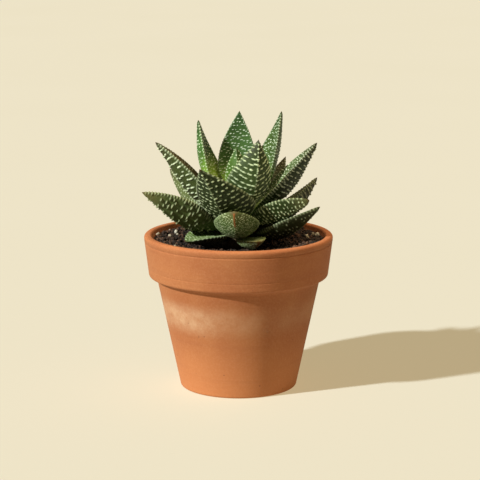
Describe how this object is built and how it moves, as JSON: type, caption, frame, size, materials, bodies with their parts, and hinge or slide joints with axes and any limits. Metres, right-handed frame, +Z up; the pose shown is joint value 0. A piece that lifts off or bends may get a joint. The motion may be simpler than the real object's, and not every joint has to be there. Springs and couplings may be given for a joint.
{
  "type": "potted gasteria",
  "caption": "Small succulent with a rosette of thick tapering leaves covered in raised tubercles, rooted in gritty potting mix in a round terracotta pot with a rim band.",
  "frame": {"origin": "middle of the pot's foot, on the surface it stands on", "axes": "+Z up the pot's axis, -Y towards the side shown in the picture, +X to the right of that view"},
  "size_m": [0.108, 0.108, 0.1565],
  "materials": {
    "terracotta": "unglazed, fired clay with pale mineral bloom",
    "potting_mix": "loose bark and peat with pale mineral grains",
    "stem": "matt, fleshy",
    "young_leaf": "waxy satin with pale tubercles",
    "grown_leaf": "waxy satin with pale tubercles",
    "aged_leaf": "duller, brown at the tip"
  },
  "bodies": {
    "root": {"pot": "terracotta", "soil": "potting_mix", "stem": "stem", "leaf_01": "young_leaf", "leaf_02": "young_leaf", "leaf_03": "young_leaf", "leaf_04": "young_leaf", "leaf_05": "young_leaf", "leaf_06": "grown_leaf", "leaf_07": "grown_leaf", "leaf_08": "grown_leaf", "leaf_09": "grown_leaf", "leaf_10": "grown_leaf", "leaf_11": "grown_leaf", "leaf_12": "grown_leaf", "leaf_13": "grown_leaf", "leaf_14": "grown_leaf", "leaf_15": "grown_leaf", "leaf_16": "grown_leaf", "leaf_17": "aged_leaf", "leaf_18": "aged_leaf", "leaf_19": "aged_leaf", "leaf_20": "aged_leaf", "leaf_21": "aged_leaf", "leaf_22": "aged_leaf"}
  },
  "joints": []
}
